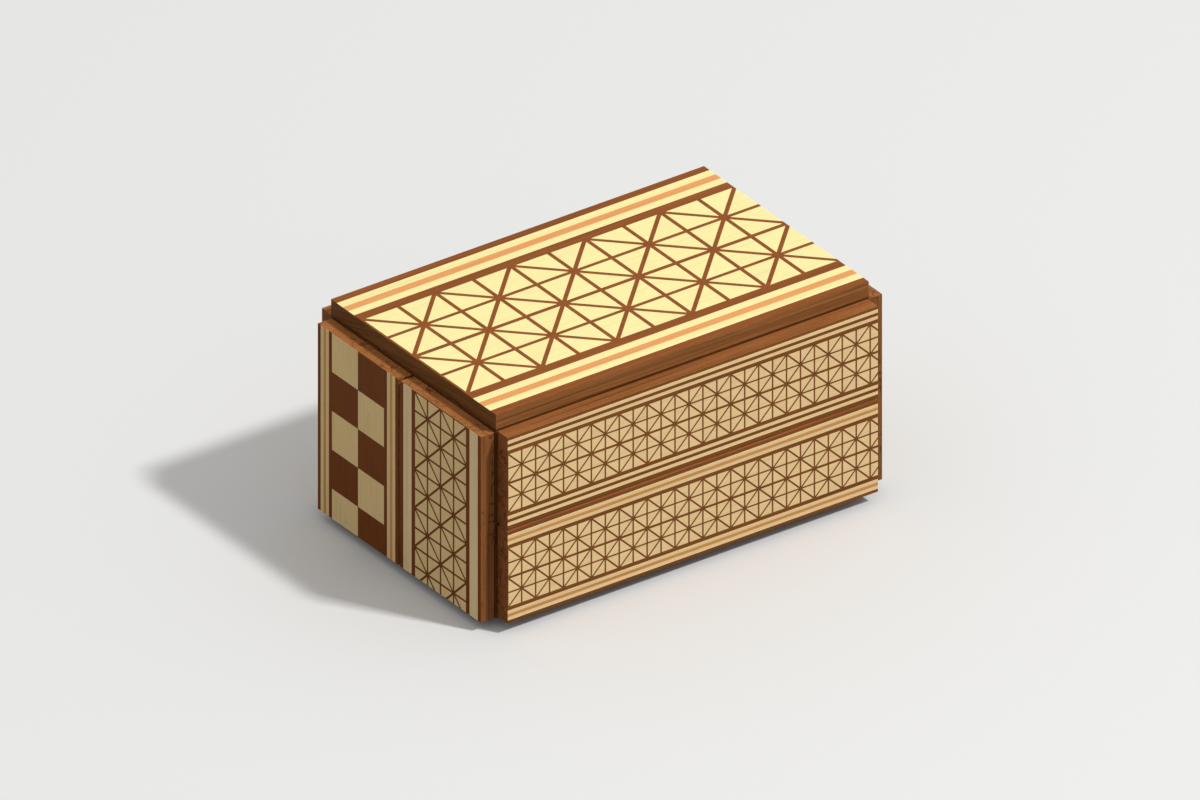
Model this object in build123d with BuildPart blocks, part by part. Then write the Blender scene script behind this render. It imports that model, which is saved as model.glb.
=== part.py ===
"""Japanese secret puzzle box with nine sliding slabs around a plain core, all faced with marquetry.

Millimetres. X runs along the box, Y across it and Z up. The origin is the centre of the base's
underside. The front is the -Y side and the left end is the -X side.
"""

import os
from math import ceil, sqrt

from build123d import *

os.makedirs("parts", exist_ok=True)

# Core box
core_length = 144.0
core_width = 89.2
core_height = 68.4
wall_thickness = 7.0
floor_thickness = 4.0
base_thickness = 3.5
base_inset = 4.0
base_chamfer = 0.5

# Sliding slabs: a board with a thin sheet of marquetry on its face
board_thickness = 5.3
end_board_thickness = 5.15
veneer_thickness = 0.15
slab_gap = 0.2
slab_inset = 0.55
end_top_inset = 1.1
end_bottom_inset = 0.05
seam_gap = 1.25
lid_gap = 0.1
end_drop = 3.1

# Tongues that close the seams between two slabs, set back from their faces
tongue_inset = 0.6
end_tongue_drop = 2.0

# Runners glued to the slabs, and the T grooves in the walls that hold them
neck_height = 6.1
flange_overhang = 1.5
flange_thickness = 1.6
groove_lip = 2.0
running_gap = 0.3
runner_margin = 2.0
run_out_depth = 0.8
lower_runner_drop = 3.1
end_runner_rise = 17.3

# Rails glued into the long walls' top edges, and the T slots in the lid that slide on them
rail_neck = 2.4
rail_overhang = 1.3
rail_flange = 1.2
rail_foot = 2.0
rail_margin = 1.0
lid_lip = 1.4
lid_slot_margin = 3.0

# Marquetry borders, from a slab's edge inwards: the wood of each strip and its width
long_upper_border = [("dark", 1.08), ("light", 1.23), ("dark", 1.12), ("light", 1.21), ("dark", 1.11)]
long_lower_border = [("dark", 1.08), ("light", 1.23), ("tan", 1.12), ("light", 1.21), ("dark", 1.11)]
lid_border = [("dark", 3.08), ("light", 3.19), ("orange", 3.04), ("light", 3.19), ("dark", 3.13)]
end_lattice_border = [("dark", 1.6), ("pale", 4.45), ("dark", 1.56)]
end_check_border = [("dark", 1.55), ("light", 1.59), ("tan", 1.3), ("light", 1.57), ("dark", 1.6)]

# Marquetry fields: dark lattice lines between light triangles, and a chequer
lattice_rows = 4
check_columns = 2
long_line = 0.57
long_middle_line = 0.85
lid_line = 1.44
lid_middle_line = 1.66
end_line = 0.74
glue_line = 0.03

# Sizes that follow
core_bottom = base_thickness
core_top = core_bottom + core_height
end_slab_thickness = end_board_thickness + veneer_thickness
slab_bottom = core_bottom + slab_inset
slab_top = core_top - slab_inset
long_length = core_length - 2 * slab_inset
long_height = (slab_top - slab_bottom - seam_gap) / 2
end_width = (core_width - 2 * slab_inset - seam_gap) / 2
end_slab_bottom = core_bottom + end_bottom_inset
end_slab_top = core_top - end_top_inset
end_height = end_slab_top - end_slab_bottom
end_offset = (end_width + seam_gap) / 2
inner_width = core_width - 2 * wall_thickness
lid_bottom = core_top + lid_gap
# A long slab slides until its end is level with the faces of the end slabs
long_travel = slab_inset + slab_gap + end_slab_thickness
runner_length = core_length - 2 * (long_travel + runner_margin)
tongue_height = seam_gap - slab_gap
runner_reach = groove_lip + running_gap
cavity_depth = flange_thickness + 2 * running_gap
# The lid's rails stand in the middle of the long walls
rail_start = -core_length / 2 + lid_slot_margin + running_gap
rail_end = core_length / 2 - rail_margin
rail_length = rail_end - rail_start
rail_centre_x = (rail_start + rail_end) / 2
rail_centre_y = (core_width - wall_thickness) / 2


def write(name, part):
    """Label a finished piece and write it to its STEP file."""
    part.label = name
    export_step(part, f"parts/{name}.step")


def side_plane(outward, reach):
    """Plane on one side of the box: x to the right as seen from outside, y up and z outward."""
    outward = Vector(*outward)
    return Plane(origin=outward * reach, x_dir=Vector(0, 0, 1).cross(outward), z_dir=outward)


def extrude_rectangle(plane, centre, size, amount, mode=Mode.ADD):
    """Add a block to the part being built, or cut it away: a rectangle on a plane, extruded."""
    with BuildSketch(plane) as outline:
        with Locations(centre):
            Rectangle(*size)
    extrude(outline.sketch, amount=amount, mode=mode)


def cut_groove(face, centre, mouth, cavity):
    """Cut a T groove into the wall being built: its mouth through the lip, and its wider cavity."""
    extrude_rectangle(face, centre, mouth, -groove_lip, Mode.SUBTRACT)
    extrude_rectangle(face.offset(-groove_lip), centre, cavity, -cavity_depth, Mode.SUBTRACT)


def make_runner(face, centre, neck, flange):
    """T-shaped runner on the back of a slab, with its flange behind the lip of the groove."""
    with BuildPart() as runner:
        extrude_rectangle(face.offset(slab_gap), centre, neck, -(slab_gap + runner_reach))
        extrude_rectangle(face.offset(-runner_reach), centre, flange, -flange_thickness)
    return runner.part


def make_board(face, centre, size, thickness, tongue=None):
    """Backing board of a slab, and its tongue if it has one, given by its centre and size."""
    with BuildPart() as board:
        extrude_rectangle(face.offset(slab_gap), centre, size, thickness)
        if tongue:
            reach = thickness + veneer_thickness - tongue_inset
            extrude_rectangle(face.offset(slab_gap), *tongue, reach)
    return board.part


def border_width(border):
    """Width of all the strips along one edge."""
    return sum(width for _, width in border)


def border_strips(border, wood, slab_width):
    """Centre and width of each strip of one wood, along both edges of a slab."""
    strips = []
    outer = slab_width / 2
    for kind, width in border:
        if kind == wood:
            strips += [(outer - width / 2, width), (width / 2 - outer, width)]
        outer -= width
    return strips


def draw_strips(length, strips):
    """Draw border strips along x in the sketch being built."""
    for centre, width in strips:
        with Locations((0, centre)):
            Rectangle(length, width)


def lattice_tiles(length, width, line, middle_line):
    """The light triangles of a lattice field, as a flat sketch.

    Square cells start at the low x end, and each has one diagonal. The diagonals meet at every
    second node, which makes stars of eight lines there. Triangles stand back from the middle of
    each line by half of its width, and the last cells are cut off at the field's end. A field that
    is joined from two halves has a wider line along its middle.
    """
    pitch = width / lattice_rows
    inradius = pitch * (1 - sqrt(0.5))
    shrink = 1 - line / 2 / inradius
    triangles = []
    for column in range(ceil(length / pitch)):
        for row in range(lattice_rows):
            low = Vector(column * pitch - length / 2, row * pitch - width / 2)
            corners = [low + Vector(*step) * pitch for step in ((0, 0), (1, 0), (1, 1), (0, 1))]
            star = (column + row) % 2
            ends = corners[star], corners[star + 2]
            for square_corner in (corners[1 - star], corners[3 - star]):
                legs = ends[0] + ends[1] - square_corner * 2
                middle = square_corner + legs * (inradius / pitch)
                triangles.append([middle + (v - middle) * shrink for v in (square_corner, *ends)])
    with BuildSketch() as tiles:
        add([Face(Wire.make_polygon(triangle)) for triangle in triangles])
        Rectangle(length, width, mode=Mode.INTERSECT)
        if middle_line > line:
            Rectangle(length, middle_line, mode=Mode.SUBTRACT)
    return tiles.sketch


def check_tiles(length, width, parity):
    """The squares of one colour of a chequer, as a flat sketch cut off at the field's end."""
    pitch = width / check_columns
    side = pitch - 2 * glue_line
    with BuildSketch() as tiles:
        for row in range(ceil(length / pitch)):
            for column in range(check_columns):
                if (row + column) % 2 == parity:
                    x = (row + 0.5) * pitch - length / 2
                    y = (column + 0.5) * pitch - width / 2
                    with Locations((x, y)):
                        Rectangle(side, side)
        Rectangle(length, width, mode=Mode.INTERSECT)
    return tiles.sketch


def make_veneer(plane, length, strips, tiles=None):
    """Thin pieces of one wood in a slab's face: its border strips, and its tiles in the field."""
    with BuildPart() as veneer:
        with BuildSketch(plane):
            draw_strips(length, strips)
            if tiles:
                add(tiles)
        extrude(amount=veneer_thickness)
    return veneer.part


def make_lattice(plane, length, width, tiles):
    """The dark lines of a lattice field: one thin sheet with a hole for each light triangle."""
    with BuildPart() as lattice:
        with BuildSketch(plane):
            Rectangle(length, width)
            add(tiles, mode=Mode.SUBTRACT)
        extrude(amount=veneer_thickness)
    return lattice.part


def write_lattice_face(slab, plane, length, width, border, line, middle_line):
    """Write the pieces of a lattice slab's face. The plane's x runs along the strips."""
    field = width - 2 * border_width(border)
    tiles = lattice_tiles(length, field, line, middle_line)
    write(f"{slab}_dark_strips", make_veneer(plane, length, border_strips(border, "dark", width)))
    write(f"{slab}_lattice", make_lattice(plane, length, field, tiles))
    light = make_veneer(plane, length, border_strips(border, "light", width), tiles)
    write(f"{slab}_light_inlay", light)
    write_accents(slab, plane, length, width, border)


def write_check_face(slab, plane, length, width, border):
    """Write the pieces of a chequered slab's face. The plane's x runs along the strips."""
    field = width - 2 * border_width(border)
    dark, light = (check_tiles(length, field, parity) for parity in (1, 0))
    write(f"{slab}_dark_strips", make_veneer(plane, length, border_strips(border, "dark", width)))
    write(f"{slab}_dark_squares", make_veneer(plane, length, [], dark))
    light_inlay = make_veneer(plane, length, border_strips(border, "light", width), light)
    write(f"{slab}_light_inlay", light_inlay)
    write_accents(slab, plane, length, width, border)


def write_accents(slab, plane, length, width, border):
    """Write the strips of each accent wood that a border has."""
    for wood in ("tan", "orange", "pale"):
        strips = border_strips(border, wood, width)
        if strips:
            write(f"{slab}_{wood}_strips", make_veneer(plane, length, strips))


def write_long_side(side, outward):
    """Write a long wall and the two slabs that slide along it, one to each side."""
    face = side_plane(outward, core_width / 2)
    wall_centre = (0, (core_bottom + core_top) / 2)
    # Runners: at the middle of the upper slab, and just under the top edge of the lower one
    slabs = {
        "upper": (slab_top - long_height, long_height / 2, 1, long_upper_border),
        "lower": (slab_bottom, long_height - lower_runner_drop, -1, long_lower_border),
    }
    groove_height = neck_height + 2 * running_gap
    cavity_height = groove_height + 2 * flange_overhang
    with BuildPart() as wall:
        extrude_rectangle(face, wall_centre, (core_length, core_height), -wall_thickness)
        for bottom, rise, way, _ in slabs.values():
            # Grooves are open at the right, and end at the left where the runner's move ends
            room = running_gap + (long_travel if way < 0 else 0)
            groove_start = -(runner_length / 2 + room)
            groove_length = core_length / 2 - groove_start
            centre = ((core_length / 2 + groove_start) / 2, bottom + rise)
            cut_groove(face, centre, (groove_length, groove_height), (groove_length, cavity_height))
            if way < 0:
                # The lower groove runs out to the left end in a shallow cut
                centre = ((groove_start - core_length / 2) / 2, bottom + rise)
                size = (core_length / 2 + groove_start, groove_height)
                extrude_rectangle(face, centre, size, -run_out_depth, Mode.SUBTRACT)
        extrude_rectangle(
            Plane.XY.offset(core_top),
            (rail_centre_x, outward[1] * rail_centre_y),
            (rail_length, rail_neck),
            -rail_foot,
            Mode.SUBTRACT,
        )
    write(f"{side}_wall", wall.part)

    for name, (bottom, rise, _, border) in slabs.items():
        slab = f"{side}_{name}"
        centre = (0, bottom + long_height / 2)
        neck = (runner_length, neck_height)
        flange = (runner_length, neck_height + 2 * flange_overhang)
        # The lower slab's tongue stands behind the seam
        tongue_centre = (0, bottom + long_height + tongue_height / 2)
        tongue = (tongue_centre, (long_length - 2 * tongue_inset, tongue_height))
        board = make_board(
            face, centre, (long_length, long_height), board_thickness, tongue if name == "lower" else None
        )
        write(f"{slab}_board", board)
        write(f"{slab}_runner", make_runner(face, (0, bottom + rise), neck, flange))
        sheet = face.offset(slab_gap + board_thickness)
        sheet = Plane(sheet.from_local_coords(Vector(*centre)), sheet.x_dir, sheet.z_dir)
        write_lattice_face(
            slab, sheet, long_length, long_height, border, long_line, long_middle_line
        )


def write_end(side, outward):
    """Write an end wall and the two slabs that drop along it, side by side."""
    face = side_plane(outward, core_length / 2)
    wall_centre = (0, (core_bottom + core_top) / 2)
    runner_bottom = end_slab_bottom + end_runner_rise
    # The runners reach up past the slabs, and fill the grooves' mouths up to the lid
    runner_top = core_top - slab_gap
    runner_height = runner_top - runner_bottom
    # The grooves are open at the top, under the lid, and stop the runners at the end of the drop
    groove_bottom = runner_bottom - end_drop - running_gap
    groove_length = core_top - groove_bottom
    groove_width = neck_height + 2 * running_gap
    cavity_width = groove_width + 2 * flange_overhang
    with BuildPart() as wall:
        extrude_rectangle(face, wall_centre, (inner_width, core_height), -wall_thickness)
        for offset in (-end_offset, end_offset):
            centre = (offset, (core_top + groove_bottom) / 2)
            cut_groove(face, centre, (groove_width, groove_length), (cavity_width, groove_length))
    write(f"{side}_wall", wall.part)

    for name, offset in (("lattice", end_offset), ("check", -end_offset)):
        slab = f"{side}_{name}"
        centre = (offset, end_slab_bottom + end_height / 2)
        runner_centre = (offset, (runner_bottom + runner_top) / 2)
        neck = (neck_height, runner_height)
        flange = (neck_height + 2 * flange_overhang, runner_height)
        # The chequered slab's tongue stands behind the seam, below its top end
        tongue_length = end_height - end_tongue_drop
        tongue_centre = ((tongue_height - seam_gap) / 2, end_slab_bottom + tongue_length / 2)
        tongue = (tongue_centre, (tongue_height, tongue_length))
        board = make_board(
            face, centre, (end_width, end_height), end_board_thickness, tongue if name == "check" else None
        )
        write(f"{slab}_board", board)
        write(f"{slab}_runner", make_runner(face, runner_centre, neck, flange))
        # The strips run down the slab, so the sheet's x points down from its top edge
        sheet = face.offset(slab_gap + end_board_thickness)
        sheet = Plane(sheet.from_local_coords(Vector(*centre)), (0, 0, -1), sheet.z_dir)
        if name == "lattice":
            write_lattice_face(
                slab, sheet, end_height, end_width, end_lattice_border, end_line, end_line
            )
        else:
            write_check_face(slab, sheet, end_height, end_width, end_check_border)


write_long_side("front", (0, -1, 0))
write_long_side("back", (0, 1, 0))
write_end("left", (-1, 0, 0))
write_end("right", (1, 0, 0))

# Lid rails: their feet are let into the long walls, and their flanges run inside the lid
rail_flange_bottom = lid_bottom + lid_lip + running_gap
neck_length = rail_flange_bottom - core_top + rail_foot
flange_size = (rail_length, rail_neck + 2 * rail_overhang)
for side, way in (("front", -1), ("back", 1)):
    rail_centre = (rail_centre_x, way * rail_centre_y)
    with BuildPart() as rail:
        extrude_rectangle(
            Plane.XY.offset(core_top - rail_foot), rail_centre, (rail_length, rail_neck), neck_length
        )
        extrude_rectangle(Plane.XY.offset(rail_flange_bottom), rail_centre, flange_size, rail_flange)
    write(f"{side}_lid_rail", rail.part)

# Floor of the compartment, glued between the four walls
floor_length = core_length - 2 * wall_thickness
with BuildPart() as floor_board:
    extrude_rectangle(
        Plane.XY.offset(core_bottom), (0, 0), (floor_length, inner_width), floor_thickness
    )
write("floor_board", floor_board.part)

# Base that holds the slabs clear of the table
base_size = (core_length - 2 * base_inset, core_width - 2 * base_inset)
with BuildPart() as base_plate:
    extrude_rectangle(Plane.XY, (0, 0), base_size, base_thickness)
    chamfer(base_plate.faces().sort_by(Axis.Z)[0].edges(), length=base_chamfer)
write("base_plate", base_plate.part)

# Lid: its slots are closed at the left end, and open at the right end that trails as it slides left
slot_start = -core_length / 2 + lid_slot_margin
slot_length = core_length / 2 - slot_start
slot_centre_x = (core_length / 2 + slot_start) / 2
slot_mouth = (slot_length, rail_neck + 2 * running_gap)
slot_cavity = (slot_length, rail_neck + 2 * rail_overhang + 2 * running_gap)
slot_cavity_height = rail_flange + 2 * running_gap
with BuildPart() as lid_board:
    extrude_rectangle(
        Plane.XY.offset(lid_bottom), (0, 0), (core_length, core_width), board_thickness
    )
    for way in (-1, 1):
        slot_centre = (slot_centre_x, way * rail_centre_y)
        extrude_rectangle(
            Plane.XY.offset(lid_bottom), slot_centre, slot_mouth, lid_lip, Mode.SUBTRACT
        )
        extrude_rectangle(
            Plane.XY.offset(lid_bottom + lid_lip),
            slot_centre,
            slot_cavity,
            slot_cavity_height,
            Mode.SUBTRACT,
        )
write("lid_board", lid_board.part)
lid_face = Plane.XY.offset(lid_bottom + board_thickness)
write_lattice_face(
    "lid", lid_face, core_length, core_width, lid_border, lid_line, lid_middle_line
)
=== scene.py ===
"""Looks of the secret puzzle box: its woods, the studio light, the floor and the camera."""

from collections import namedtuple
from math import cos, pi, radians, sin

import bpy
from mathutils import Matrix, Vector


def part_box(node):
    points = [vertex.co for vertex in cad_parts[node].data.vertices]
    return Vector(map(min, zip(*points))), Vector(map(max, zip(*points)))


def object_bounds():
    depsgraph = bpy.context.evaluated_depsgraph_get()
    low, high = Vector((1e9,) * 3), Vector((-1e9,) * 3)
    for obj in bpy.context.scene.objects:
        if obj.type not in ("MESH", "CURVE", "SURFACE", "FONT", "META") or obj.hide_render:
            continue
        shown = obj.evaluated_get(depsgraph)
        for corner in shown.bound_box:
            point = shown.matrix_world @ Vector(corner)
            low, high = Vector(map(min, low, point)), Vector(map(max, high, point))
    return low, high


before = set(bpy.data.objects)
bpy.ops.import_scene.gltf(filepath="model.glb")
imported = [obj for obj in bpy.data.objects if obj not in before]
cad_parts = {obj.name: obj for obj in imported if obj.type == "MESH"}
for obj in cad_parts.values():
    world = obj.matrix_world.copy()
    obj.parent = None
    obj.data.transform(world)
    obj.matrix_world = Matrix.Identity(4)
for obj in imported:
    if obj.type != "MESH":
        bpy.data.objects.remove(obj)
cad_low, cad_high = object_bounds()

# The photo's view: parallel, turned from the front to the left end and tilted down
camera_azimuth = radians(-35.52)
camera_elevation = radians(30)
camera_distance = 1.5
image_width, image_height = 1200, 800
metres_per_pixel = 0.00031421
# Where the photo shows the front left bottom corner of the lid
corner_pixel = (495.9, 429.6)

# Light: a level is what a white surface that faces the light renders at
lamp_distance = 5.2
lamp_direction = (0.32, -0.54, 0.78)
lamp_size = 0.44
lamp_level = 0.635
ambient_level = 0.552
background_level = 0.8
world_colour = (1, 1, 1, 1)
floor_size = 12.0
floor_drop = 0.00002
floor_shown = (0.80, 0.80, 0.79, 1)
floor_bounce = (0.25, 0.25, 0.245, 1)

# Soft edges in metres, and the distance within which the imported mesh's doubled points are joined
weld_distance = 1e-6
board_edge, board_edge_steps = 0.00010, 3
veneer_edge, veneer_edge_steps = 0.00003, 1

# From here on, shader lengths are in millimetres, and scales in repeats per millimetre
millimetres = 1000.0
# How far apart the spots of the log are that the pieces are cut from: along the grain, and across it
spot_shift = (170.0, 23.0)

# Noise in the wood: its scales along and across the grain, its detail and its roughness
Noise = namedtuple("Noise", "along across detail roughness", defaults=(0.5,))
wander_noise = Noise(0.010, 0.05, 1.0)
fibre_noise = Noise(0.30, 5.0, 3.0, 0.6)
pore_noise = Noise(0.55, 8.0, 1.0)
cloud_noise = Noise(0.03, 0.10, 2.0)
hair_noise = Noise(0.010, 1.6, 1.0)
vein_noise = Noise(0.22, 0.34, 0.0)
vein_place_noise = Noise(0.05, 0.10, 1.0)
knot_noise = Noise(0.16, 0.26, 2.0)
noise_middle = 0.5

# How far the grain's slow wander reaches
wander_reach = 2.4
# Growth rings: where the pith lies, how close the rings are, and the noise levels where they begin and end
pith = (12.0, 113.0)
ring_scale, ring_drift, ring_detail, ring_roughness = 1.1, 0.008, 3.0, 0.65
ring_begin, ring_end = 0.38, 0.62
# How far fibres and clouds swing the tone, for each unit of their strength in a wood
fibre_swing, cloud_swing = 2.6, 2.0
# The noise levels where pores, hairlines and knots begin and end
pore_begin, pore_end = 0.62, 0.74
hair_begin, hair_end = 0.58, 0.65
knot_begin, knot_end = 0.68, 0.78
# How strong the long dark hairlines are beside the pores
hair_gain = 1.5
# Thin dark veins: their half width as a noise level, where they show, and how dark they are on end grain
vein_width = 0.065
vein_begin, vein_end = 0.38, 0.50
end_vein_share = 0.50
# The end grain shows where a surface squarely faces along the grain, by this cosine, and there pores and
# hairlines are fainter by this share
end_grain_cosine, end_grain_calm = 0.9, 0.6
# Edges rubbed paler: how far in, in which spots, and how much
rub_scale, rub_detail, rub_begin, rub_end = 0.35, 3.0, 0.38, 0.66
rub_low, rub_high = 0.05, 0.60
rub_share, rub_gain = 0.35, 1.45
# Surface relief, with its depth in metres, and gloss
relief_strength, relief_depth = 0.35, 0.00004
relief_fibres, relief_rings = 0.6, 0.25
gloss_level = 0.04
gloss_change = 0.25
# A veneer's sawn edge shows where its surface turns away from the face by more than this cosine
sawn_cosine = 0.6
sawn_colour = (0.250, 0.085, 0.024, 1)

# Woods: the linear colours of the ground and of its dark growth rings, how strong each feature shows,
# roughness, and how bright the end grain is beside the rest; besides the end grain's own tone, this
# darkens the end faces of the lid and long slabs as painted shade and brightens the end slabs' tops as
# painted light
Wood = namedtuple(
    "Wood", "ground rings ring_share fibre pores mottle roughness veins end_tone", defaults=(0.0, 1.0)
)
woods = {
    "slab": Wood(
        (0.413, 0.154, 0.0474), (0.266, 0.0915, 0.0258), ring_share=0.60, fibre=0.14, pores=0.25,
        mottle=0.14, roughness=0.52, veins=0.08, end_tone=0.66,
    ),
    # end_slab, end_dark and end_light are darker copies of slab, dark and light: painted shade on the end
    # slabs
    "end_slab": Wood(
        (0.318, 0.122, 0.0365), (0.240, 0.086, 0.0241), ring_share=0.50, fibre=0.12, pores=0.15,
        mottle=0.18, roughness=0.52, veins=0.50, end_tone=1.33,
    ),
    "lid_board": Wood(
        (0.325, 0.136, 0.0435), (0.186, 0.068, 0.0180), ring_share=0.70, fibre=0.16, pores=0.20,
        mottle=0.10, roughness=0.52, end_tone=0.59,
    ),
    # The core's walls and plate: wood set dark as painted shade, for the gap under the lid and at the
    # slabs' corners
    "core": Wood(
        (0.125, 0.044, 0.0120), (0.085, 0.028, 0.0070), ring_share=0.75, fibre=0.16, pores=0.25,
        mottle=0.12, roughness=0.56, end_tone=0.90,
    ),
    "inside": Wood(
        (0.520, 0.330, 0.1600), (0.400, 0.225, 0.0950), ring_share=0.50, fibre=0.10, pores=0.12,
        mottle=0.08, roughness=0.60, end_tone=0.90,
    ),
    "runner": Wood(
        (0.140, 0.050, 0.0150), (0.095, 0.033, 0.0090), ring_share=0.55, fibre=0.10, pores=0.15,
        mottle=0.08, roughness=0.44, end_tone=0.90,
    ),
    "dark": Wood(
        (0.236, 0.0855, 0.0205), (0.180, 0.062, 0.0150), ring_share=0.50, fibre=0.10, pores=0.14,
        mottle=0.08, roughness=0.50,
    ),
    "end_dark": Wood(
        (0.192, 0.0545, 0.0098), (0.152, 0.043, 0.0075), ring_share=0.40, fibre=0.08, pores=0.10,
        mottle=0.06, roughness=0.50,
    ),
    "lid_dark": Wood(
        (0.300, 0.0905, 0.0212), (0.230, 0.067, 0.0145), ring_share=0.45, fibre=0.10, pores=0.14,
        mottle=0.08, roughness=0.50,
    ),
    "light": Wood(
        (0.960, 0.685, 0.3480), (0.905, 0.625, 0.3100), ring_share=0.35, fibre=0.05, pores=0.05,
        mottle=0.04, roughness=0.48,
    ),
    "end_light": Wood(
        (0.855, 0.625, 0.2980), (0.805, 0.570, 0.2660), ring_share=0.35, fibre=0.05, pores=0.05,
        mottle=0.04, roughness=0.48,
    ),
    "lid_light": Wood(
        (0.965, 0.862, 0.4000), (0.920, 0.812, 0.3600), ring_share=0.30, fibre=0.04, pores=0.04,
        mottle=0.03, roughness=0.48,
    ),
    "tan": Wood(
        (0.685, 0.337, 0.1140), (0.620, 0.290, 0.0910), ring_share=0.45, fibre=0.08, pores=0.10,
        mottle=0.05, roughness=0.48,
    ),
    "orange": Wood(
        (0.825, 0.375, 0.1300), (0.755, 0.325, 0.1050), ring_share=0.40, fibre=0.06, pores=0.08,
        mottle=0.04, roughness=0.48,
    ),
    "pale": Wood(
        (0.860, 0.660, 0.3650), (0.780, 0.580, 0.3100), ring_share=0.45, fibre=0.06, pores=0.07,
        mottle=0.05, roughness=0.48,
    ),
}
wood_of_node = {
    "floor_board": "inside", "lid_board": "lid_board", "lid_light_inlay": "lid_light",
    "lid_lattice": "lid_dark", "lid_dark_strips": "lid_dark",
}
# Darker copies of the long slabs' woods for the end slabs: painted shade, set for the left end, which
# faces away from the lamp; the right end takes them too
shaded_woods_at_ends = {"slab": "end_slab", "dark": "end_dark", "light": "end_light"}
# Walls and plate take the dark core wood, which paints the shade in the gaps between the parts
wood_of_ending = {
    "board": "slab", "wall": "core", "plate": "core", "runner": "runner", "rail": "runner",
    "dark_strips": "dark", "lattice": "dark", "dark_squares": "dark", "light_inlay": "light",
    "tan_strips": "tan", "orange_strips": "orange", "pale_strips": "pale",
}
thick_endings = ("board", "wall", "plate", "runner", "rail")

# Which sockets of a colour mix node are its factor, first and second colour, and result
mix_inputs, mix_output = (0, 6, 7), 2


class Graph:
    """A node tree: each method adds a node, feeds its inputs and returns its output."""

    def __init__(self, tree):
        self.tree = tree
        self.tree.nodes.clear()

    def add(self, kind, **settings):
        made = self.tree.nodes.new(kind)
        for key, value in settings.items():
            setattr(made, key, value)
        return made

    def feed(self, socket, value):
        if isinstance(value, bpy.types.NodeSocket):
            self.tree.links.new(value, socket)
        else:
            socket.default_value = value

    def math(self, operation, *values):
        made = self.add("ShaderNodeMath", operation=operation)
        for socket, value in zip(made.inputs, values):
            self.feed(socket, value)
        return made.outputs[0]

    def scale(self, vector, factor):
        made = self.add("ShaderNodeVectorMath", operation="SCALE")
        self.feed(made.inputs[0], vector)
        self.feed(made.inputs["Scale"], factor)
        return made.outputs[0]

    def step(self, value, low, high):
        """Smooth step from 0 to 1 as value goes from low to high."""
        made = self.add("ShaderNodeMapRange", interpolation_type="SMOOTHSTEP")
        for socket, number in zip(made.inputs, (value, low, high, 0.0, 1.0)):
            self.feed(socket, number)
        return made.outputs[0]

    def swing(self, value, reach):
        """Turn a noise level into a change about 0."""
        return self.math("MULTIPLY", self.math("SUBTRACT", value, noise_middle), reach)

    def combine(self, *values):
        made = self.add("ShaderNodeCombineXYZ")
        for socket, value in zip(made.inputs, values):
            self.feed(socket, value)
        return made.outputs[0]

    def separate(self, vector):
        made = self.add("ShaderNodeSeparateXYZ")
        self.feed(made.inputs[0], vector)
        return made.outputs

    def noise(self, vector, detail, roughness=0.5, output="Fac"):
        made = self.add("ShaderNodeTexNoise")
        settings = {"Vector": vector, "Scale": 1.0, "Detail": detail, "Roughness": roughness}
        for name, value in settings.items():
            self.feed(made.inputs[name], value)
        return made.outputs[output]

    def grain_noise(self, grain, noise, output="Fac"):
        """Noise at one scale along the grain and another across it."""
        scales = (noise.along, noise.across, noise.across)
        stretched = [self.math("MULTIPLY", value, scale) for value, scale in zip(grain, scales)]
        return self.noise(self.combine(*stretched), noise.detail, noise.roughness, output)

    def mix(self, factor, first, second):
        made = self.add("ShaderNodeMix", data_type="RGBA")
        for place, value in zip(mix_inputs, (factor, first, second)):
            self.feed(made.inputs[place], value)
        return made.outputs[mix_output]


def new_material(name):
    """A material with an empty graph."""
    material = bpy.data.materials.new(name)
    material.use_nodes = True
    return material, Graph(material.node_tree)


def edge_distance(graph, place, node):
    """Distance from the nearest edge of the node's box, for points on its surface."""
    distances = []
    for value, low, high in zip(place, *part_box(node)):
        middle, half = (low + high) / 2 * millimetres, (high - low) / 2 * millimetres
        offset = graph.math("ABSOLUTE", graph.math("SUBTRACT", value, middle))
        distances.append(graph.math("SUBTRACT", half, offset))
    # On a surface one of the three is 0, and the next one up is the distance from the edge
    a, b, c = distances
    lower, upper = graph.math("MINIMUM", a, b), graph.math("MAXIMUM", a, b)
    return graph.math("MAXIMUM", lower, graph.math("MINIMUM", upper, c))


def wandering_grain(graph, place, along, island):
    """Coordinates along the grain and across it, with each piece cut from another spot of the log."""
    turn = "XYZ".index(along)
    u, s, t = (place[(turn + step) % 3] for step in range(3))
    u = graph.math("MULTIPLY_ADD", island, spot_shift[0], u)
    s = graph.math("MULTIPLY_ADD", island, spot_shift[1], s)
    wander = graph.separate(graph.grain_noise((u, s, t), wander_noise, output="Color"))
    s = graph.math("MULTIPLY_ADD", wander[0], wander_reach, s)
    t = graph.math("MULTIPLY_ADD", wander[1], wander_reach, t)
    return u, s, t


def growth_rings(graph, grain):
    """Dark rings about the pith, which are lines along the grain on a board's side."""
    u, *across = grain
    offsets = [graph.math("ADD", value, offset) for value, offset in zip(across, pith)]
    squares = [graph.math("POWER", offset, 2.0) for offset in offsets]
    radius = graph.math("SQRT", graph.math("ADD", *squares))
    depth = graph.math("MULTIPLY", radius, ring_scale)
    drift = graph.math("MULTIPLY", u, ring_drift)
    level = graph.noise(graph.combine(depth, drift, 0.0), ring_detail, ring_roughness)
    return graph.step(level, ring_begin, ring_end)


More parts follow.
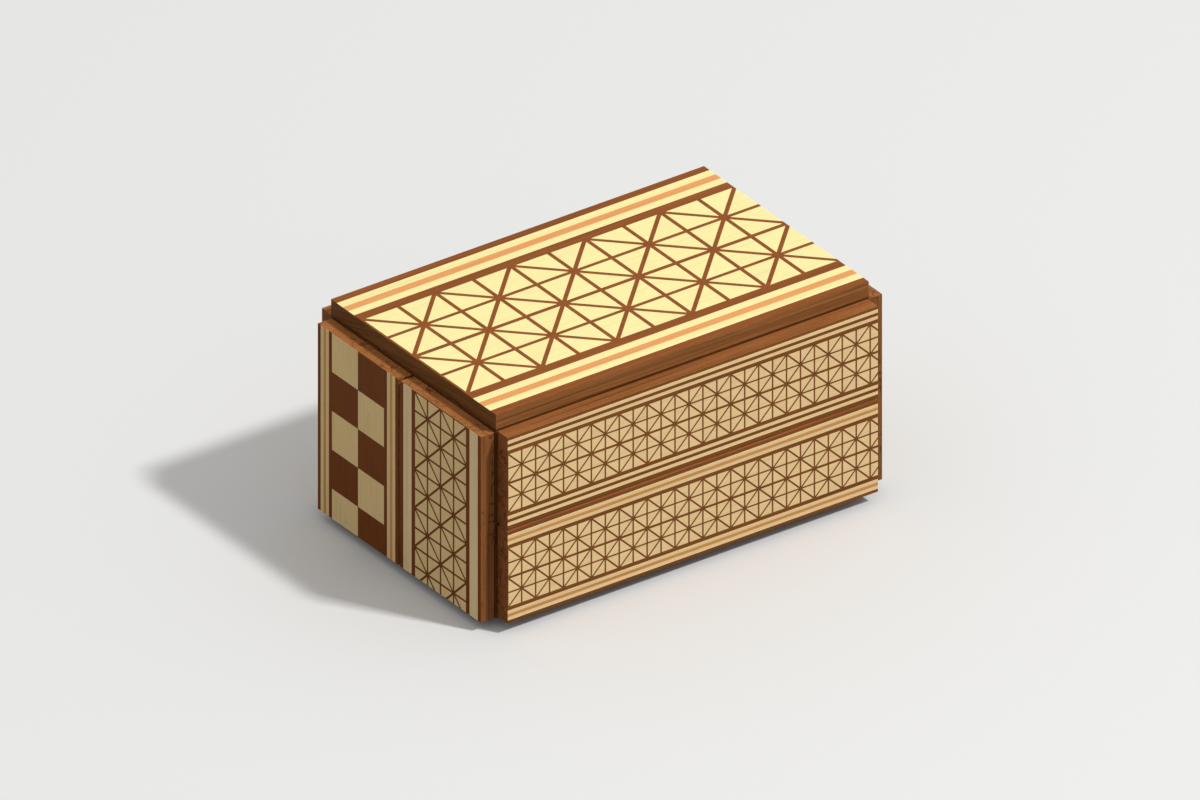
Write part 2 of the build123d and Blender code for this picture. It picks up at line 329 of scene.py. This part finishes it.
def veins_and_knots(graph, grain):
    """Thin dark veins that loop in places, and a few knots."""
    level = graph.grain_noise(grain, vein_noise)
    distance = graph.math("ABSOLUTE", graph.math("SUBTRACT", level, noise_middle))
    line = graph.math("SUBTRACT", 1.0, graph.step(distance, 0.0, vein_width))
    places = graph.grain_noise(grain, vein_place_noise)
    line = graph.math("MULTIPLY", line, graph.step(places, vein_begin, vein_end))
    knots = graph.step(graph.grain_noise(grain, knot_noise), knot_begin, knot_end)
    return graph.math("MAXIMUM", line, knots)


def facing(graph, axis):
    """How squarely the surface faces along an axis, from 0 to 1."""
    normal = graph.add("ShaderNodeNewGeometry").outputs["True Normal"]
    return graph.math("ABSOLUTE", graph.separate(normal)["XYZ".index(axis)])


def wood_tone(graph, wood, grain, island, fibres, pores, end_grain):
    """How bright the wood is, about 1: fibres, clouds, pores, hairlines, veins, and end grain with its
    painted light and shade.
    """
    clouds = graph.grain_noise(grain, cloud_noise)
    tone = graph.math("ADD", 1.0, graph.swing(fibres, fibre_swing * wood.fibre))
    tone = graph.math("ADD", tone, graph.swing(clouds, cloud_swing * wood.mottle))
    tone = graph.math("ADD", tone, graph.swing(island, wood.mottle))
    hairs = graph.step(graph.grain_noise(grain, hair_noise), hair_begin, hair_end)
    dashes = graph.math("MULTIPLY_ADD", hairs, hair_gain, pores)
    calm = graph.math("MULTIPLY_ADD", end_grain, -end_grain_calm, 1.0)
    dashes = graph.math("MULTIPLY", dashes, calm)
    tone = graph.math("SUBTRACT", tone, graph.math("MULTIPLY", dashes, wood.pores))
    if wood.veins:
        share = graph.math("MULTIPLY_ADD", end_grain, end_vein_share - wood.veins, wood.veins)
        veins = graph.math("MULTIPLY", veins_and_knots(graph, grain), share)
        tone = graph.math("MULTIPLY", tone, graph.math("SUBTRACT", 1.0, veins))
    # End faces: the end grain's own tone, with painted shade on the lid's and long slabs' ends and painted
    # light on the end slabs' tops
    if wood.end_tone != 1.0:
        end_tone = graph.math("MULTIPLY_ADD", end_grain, wood.end_tone - 1.0, 1.0)
        tone = graph.math("MULTIPLY", tone, end_tone)
    return tone


def rubbed_edges(graph, colour, point, place, node):
    """The colour, paler where the node's edges are rubbed."""
    level = graph.noise(graph.scale(point, rub_scale), rub_detail)
    spots = graph.step(level, rub_begin, rub_end)
    distance = edge_distance(graph, place, node)
    near = graph.math("SUBTRACT", 1.0, graph.step(distance, rub_low, rub_high))
    rubbed = graph.math("MULTIPLY", graph.math("MULTIPLY", near, spots), rub_share)
    return graph.mix(rubbed, colour, graph.scale(colour, rub_gain))


def wood_material(node, wood, along, face_axis):
    """Wood with its grain along one axis, and with sawn edges if it is a veneer with a face."""
    material, graph = new_material(f"{node}_wood")
    coordinates = graph.add("ShaderNodeTexCoord").outputs["Object"]
    point = graph.scale(coordinates, millimetres)
    place = graph.separate(point)
    island = graph.add("ShaderNodeNewGeometry").outputs["Random Per Island"]
    grain = wandering_grain(graph, place, along, island)
    rings = growth_rings(graph, grain)
    fibres = graph.grain_noise(grain, fibre_noise)
    pores = graph.step(graph.grain_noise(grain, pore_noise), pore_begin, pore_end)
    end_grain = graph.math("GREATER_THAN", facing(graph, along), end_grain_cosine)

    ring_share = graph.math("MULTIPLY", rings, wood.ring_share)
    colour = graph.mix(ring_share, (*wood.ground, 1), (*wood.rings, 1))
    tone = wood_tone(graph, wood, grain, island, fibres, pores, end_grain)
    colour = graph.scale(colour, tone)
    colour = rubbed_edges(graph, colour, point, place, node)
    if face_axis:
        sawn = graph.math("LESS_THAN", facing(graph, face_axis), sawn_cosine)
        colour = graph.mix(sawn, colour, sawn_colour)

    height = graph.math("MULTIPLY", fibres, relief_fibres)
    height = graph.math("MULTIPLY_ADD", rings, relief_rings, height)
    bump = graph.add("ShaderNodeBump")
    graph.feed(bump.inputs["Height"], graph.math("SUBTRACT", height, pores))
    graph.feed(bump.inputs["Strength"], relief_strength)
    graph.feed(bump.inputs["Distance"], relief_depth)

    roughness = graph.math("ADD", wood.roughness, graph.swing(fibres, gloss_change))
    shader = graph.add("ShaderNodeBsdfPrincipled")
    graph.feed(shader.inputs["Base Color"], colour)
    graph.feed(shader.inputs["Specular IOR Level"], gloss_level)
    graph.feed(shader.inputs["Roughness"], roughness)
    graph.feed(shader.inputs["Normal"], bump.outputs[0])
    output = graph.add("ShaderNodeOutputMaterial")
    graph.feed(output.inputs["Surface"], shader.outputs[0])
    return material


def wood_of(node):
    """The wood that a node is made of."""
    kind = wood_of_node.get(node)
    kind = kind or next(kind for ending, kind in wood_of_ending.items() if node.endswith(ending))
    # The end slabs take darker copies of the woods, which paint shade on them
    if node.startswith(("left_", "right_")):
        kind = shaded_woods_at_ends.get(kind, kind)
    return woods[kind]


def grain_of(node):
    """The axis that a node's grain runs along."""
    if node in ("left_wall", "right_wall"):
        return "Y"
    return "Z" if node.startswith(("left_", "right_")) else "X"


def face_of(node):
    """The axis that a slab's face looks along."""
    if node.startswith("lid_"):
        return "Z"
    return "X" if node.startswith(("left_", "right_")) else "Y"


def finish_node(node, part):
    """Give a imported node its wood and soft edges."""
    thick = node.endswith(thick_endings)
    face_axis = None if thick else face_of(node)
    part.data.materials.clear()
    part.data.materials.append(wood_material(node, wood_of(node), grain_of(node), face_axis))
    weld = part.modifiers.new("joined_points", "WELD")
    weld.merge_threshold = weld_distance
    bevel = part.modifiers.new("soft_edges", "BEVEL")
    bevel.width = board_edge if thick else veneer_edge
    bevel.segments = board_edge_steps if thick else veneer_edge_steps
    bevel.limit_method = "ANGLE"
    bevel.harden_normals = thick


def mixed_shader(graph, first, second):
    """The first shader for rays that light the object, and the second for those that show."""
    path = graph.add("ShaderNodeLightPath").outputs
    shows = graph.math("MAXIMUM", path["Is Camera Ray"], path["Is Glossy Ray"])
    shows = graph.math("MAXIMUM", shows, path["Is Transmission Ray"])
    made = graph.add("ShaderNodeMixShader")
    for socket, value in zip(made.inputs, (shows, first, second)):
        graph.feed(socket, value)
    return made.outputs[0]


def make_floor():
    """Plain pale floor."""
    bpy.ops.mesh.primitive_plane_add(size=floor_size, location=(0, 0, -floor_drop))
    floor = bpy.context.object
    floor.name = "floor"
    material, graph = new_material("floor_paint")
    paints = []
    for colour in (floor_bounce, floor_shown):
        paint = graph.add("ShaderNodeBsdfDiffuse")
        graph.feed(paint.inputs["Color"], colour)
        paints.append(paint.outputs[0])
    output = graph.add("ShaderNodeOutputMaterial")
    graph.feed(output.inputs["Surface"], mixed_shader(graph, *paints))
    floor.data.materials.append(material)


def make_world():
    """Even soft light from all round, with a pale background."""
    world = bpy.data.worlds.new("studio")
    world.use_nodes = True
    graph = Graph(world.node_tree)
    lights = []
    for level in (ambient_level, background_level):
        light = graph.add("ShaderNodeBackground")
        graph.feed(light.inputs["Color"], world_colour)
        graph.feed(light.inputs["Strength"], level)
        lights.append(light.outputs[0])
    output = graph.add("ShaderNodeOutputWorld")
    graph.feed(output.inputs["Surface"], mixed_shader(graph, *lights))
    bpy.context.scene.world = world


def make_lamp():
    """Square soft lamp to the right of the viewer, which looks down at the object."""
    direction = Vector(lamp_direction).normalized()
    data = bpy.data.lights.new("lamp", "AREA")
    data.size = lamp_size
    # A small lamp's power spreads so that a white surface facing it shows at the level
    data.energy = lamp_level * pi**2 * lamp_distance**2
    lamp = bpy.data.objects.new("lamp", data)
    lamp.location = (cad_low + cad_high) / 2 + direction * lamp_distance
    lamp.rotation_euler = direction.to_track_quat("Z", "Y").to_euler()
    bpy.context.scene.collection.objects.link(lamp)


def make_camera():
    """Parallel camera that puts the lid's corner at its pixel of the photo."""
    a, e = camera_azimuth, camera_elevation
    right = Vector((cos(a), sin(a), 0))
    back = Vector((sin(a) * cos(e), -cos(a) * cos(e), sin(e)))
    up = back.cross(right)
    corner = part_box("lid_board")[0]
    across = (image_width / 2 - corner_pixel[0]) * metres_per_pixel
    above = (corner_pixel[1] - image_height / 2) * metres_per_pixel
    target = corner + right * across + up * above
    data = bpy.data.cameras.new("camera")
    data.type = "ORTHO"
    data.ortho_scale = image_width * metres_per_pixel
    camera = bpy.data.objects.new("camera", data)
    camera.location = target + back * camera_distance
    camera.rotation_euler = back.to_track_quat("Z", "Y").to_euler()
    bpy.context.scene.collection.objects.link(camera)
    bpy.context.scene.camera = camera


make_camera()
for node_name, node_object in sorted(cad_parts.items()):
    finish_node(node_name, node_object)
make_floor()
make_world()
make_lamp()
bpy.context.scene.view_settings.view_transform = "Standard"
